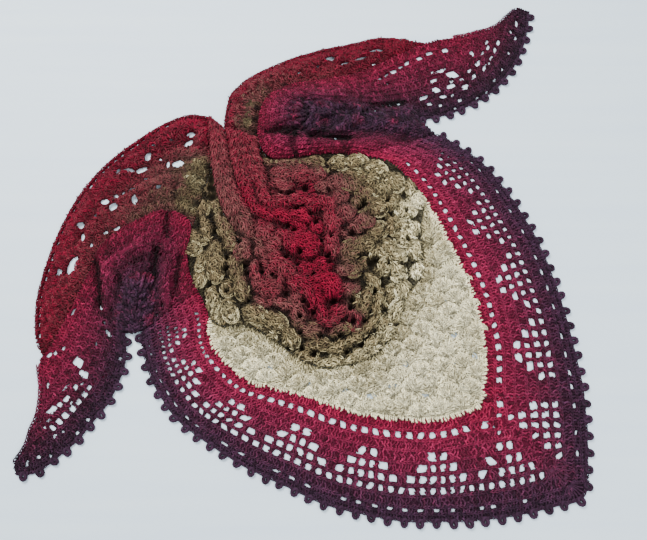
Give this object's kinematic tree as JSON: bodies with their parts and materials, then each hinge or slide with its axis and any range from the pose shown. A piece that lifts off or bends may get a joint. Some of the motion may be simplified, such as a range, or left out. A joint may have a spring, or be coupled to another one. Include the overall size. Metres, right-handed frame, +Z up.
{
  "type": "crochet shawl scarf",
  "caption": "Large triangular crochet shawl with a deep openwork lace border and picot edge, lying on a table with its neck edge gathered into the middle.",
  "frame": {"origin": "middle of the outline, on the table that the scarf lies on", "axes": "+Z up from the table; +Y away from the viewer, towards the wing tips' side; +X to the viewer's right"},
  "size_m": [0.644, 0.651, 0.0272],
  "materials": {
    "crimson": "matt crochet, crimson yarn",
    "plum": "matt crochet, plum to dark purple yarn",
    "red": "matt crochet, red to dusty red yarn",
    "khaki": "matt crochet, brown to khaki yarn",
    "cream": "matt crochet, cream yarn"
  },
  "bodies": {
    "root": {"lace_left_wing": "crimson", "lace_left_turn": "crimson", "lace_left_side": "crimson", "lace_front": "crimson", "lace_corner": "crimson", "lace_right": "crimson", "lace_right_side": "crimson", "lace_right_turn": "crimson", "lace_right_wing": "crimson", "edging_left_wing": "plum", "edging_left_turn": "plum", "edging_left_side": "plum", "edging_front": "plum", "edging_corner": "plum", "edging_right": "plum", "edging_right_turn": "plum", "edging_right_wing": "plum", "wing_left_body": "red", "wing_right_body": "red", "neck_strand_left": "red", "neck_strand_right": "red", "body_gathered": "khaki", "body_fans": "cream"}
  },
  "joints": []
}
